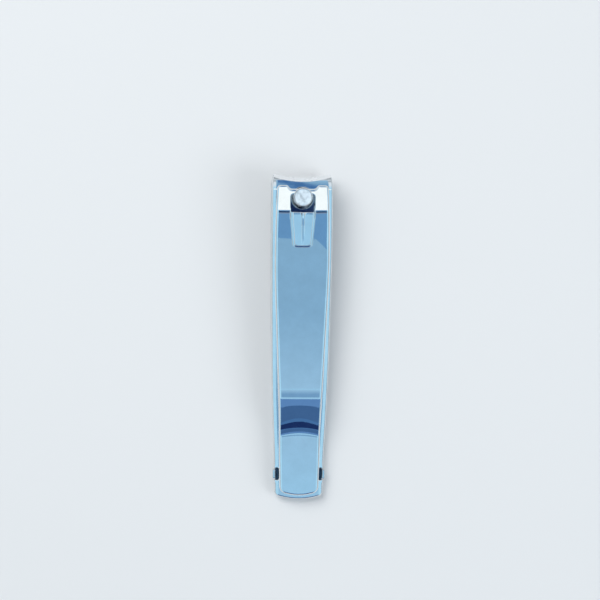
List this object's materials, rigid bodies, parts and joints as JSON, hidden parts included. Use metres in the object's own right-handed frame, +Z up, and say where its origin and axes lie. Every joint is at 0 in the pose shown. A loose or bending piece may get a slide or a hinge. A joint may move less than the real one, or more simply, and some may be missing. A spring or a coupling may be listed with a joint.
{
  "type": "nail clipper",
  "caption": "Nail clipper with sprung steel arms ending in concave cutting lips, a swivelling notched pin and a lever folded flat along the top.",
  "frame": {"origin": "centre of the bounding box in X and Y, at the height of the surface that the clipper lies on", "axes": "+Y towards the cutting edges, +X across the clipper, +Z up through the folded lever"},
  "size_m": [0.0152, 0.082, 0.0172],
  "materials": {
    "arm_plating": "bright nickel and chrome plating over spring steel, ground bright at the cutting edges",
    "lever_plating": "mirror-bright chrome plating",
    "turned_steel": "plated after turning, dull where the bar was cut off"
  },
  "bodies": {
    "lower_arm": {"lower_jaw": "arm_plating", "rear_rivet": "turned_steel"},
    "upper_arm": {"upper_jaw": "arm_plating"},
    "post": {"pin": "turned_steel"},
    "lever_arm": {"lever": "lever_plating"}
  },
  "joints": [
    {"name": "jaw_flex", "type": "hinge", "parent": "lower_arm", "child": "upper_arm", "pos_m": [0, -0.033, 0.00159], "axis": [-1, 0, 0], "range_deg": [0, 2.2], "stiffness_Nm_per_rad": 20},
    {"name": "pin_turn", "type": "hinge", "parent": "lower_arm", "child": "post", "pos_m": [0, 0.0352, 0], "axis": [0, 0, 1], "continuous": true},
    {"name": "lever_flip", "type": "hinge", "parent": "post", "child": "lever_arm", "pos_m": [0, 0.0365, 0.01345], "axis": [-1, 0, 0], "range_deg": [0, 158]}
  ]
}
